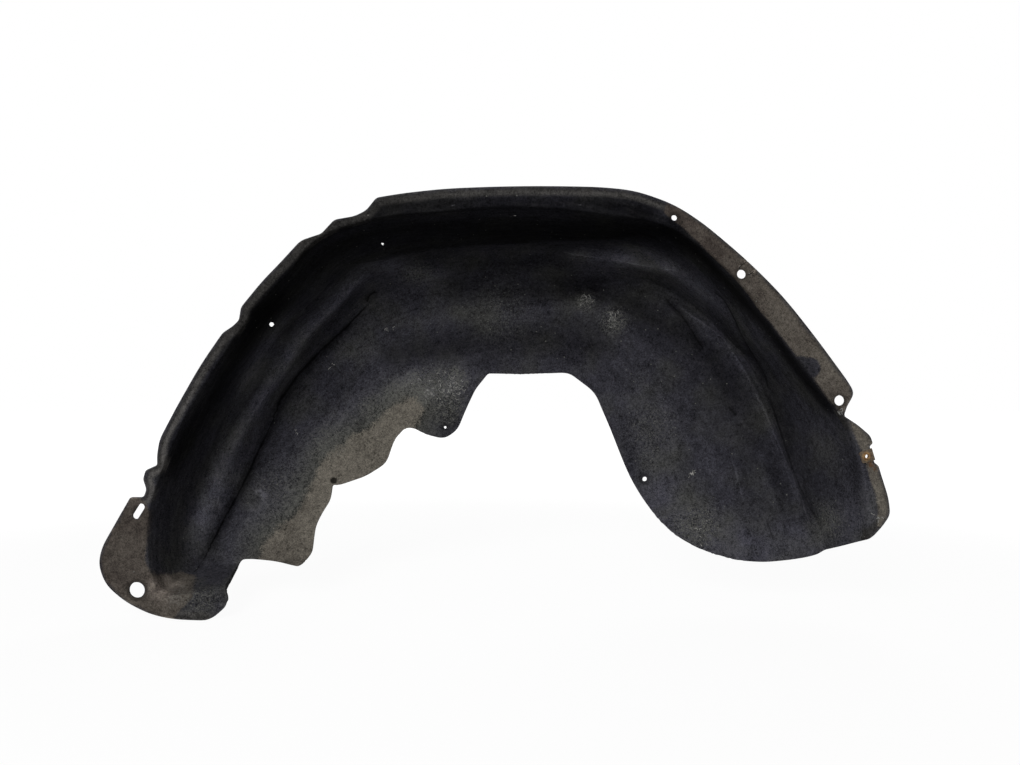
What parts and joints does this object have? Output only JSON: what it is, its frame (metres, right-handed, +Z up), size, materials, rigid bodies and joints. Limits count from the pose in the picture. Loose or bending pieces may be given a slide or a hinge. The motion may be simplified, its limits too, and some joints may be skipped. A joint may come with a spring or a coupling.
{
  "type": "wheel arch liner",
  "caption": "Moulded felt shell that lines the arch above a car's wheel, with a trimmed flange, a deep barrel, an inner wall open round the axle, fixing holes and a clip nut.",
  "frame": {"origin": "middle of the large locating hole in the left tab, on the flange's outer face", "axes": "+X along the flange from the locating hole to the right leg, +Y inboard, from the flange to the inner wall, +Z up"},
  "size_m": [0.8695, 0.2052, 0.4779],
  "materials": {
    "felt": "needled felt, matt, dusty in places",
    "rusty_steel": "rusted spring steel, rough"
  },
  "bodies": {
    "root": {"arch_liner": "felt", "clip_nut": "rusty_steel"}
  },
  "joints": []
}
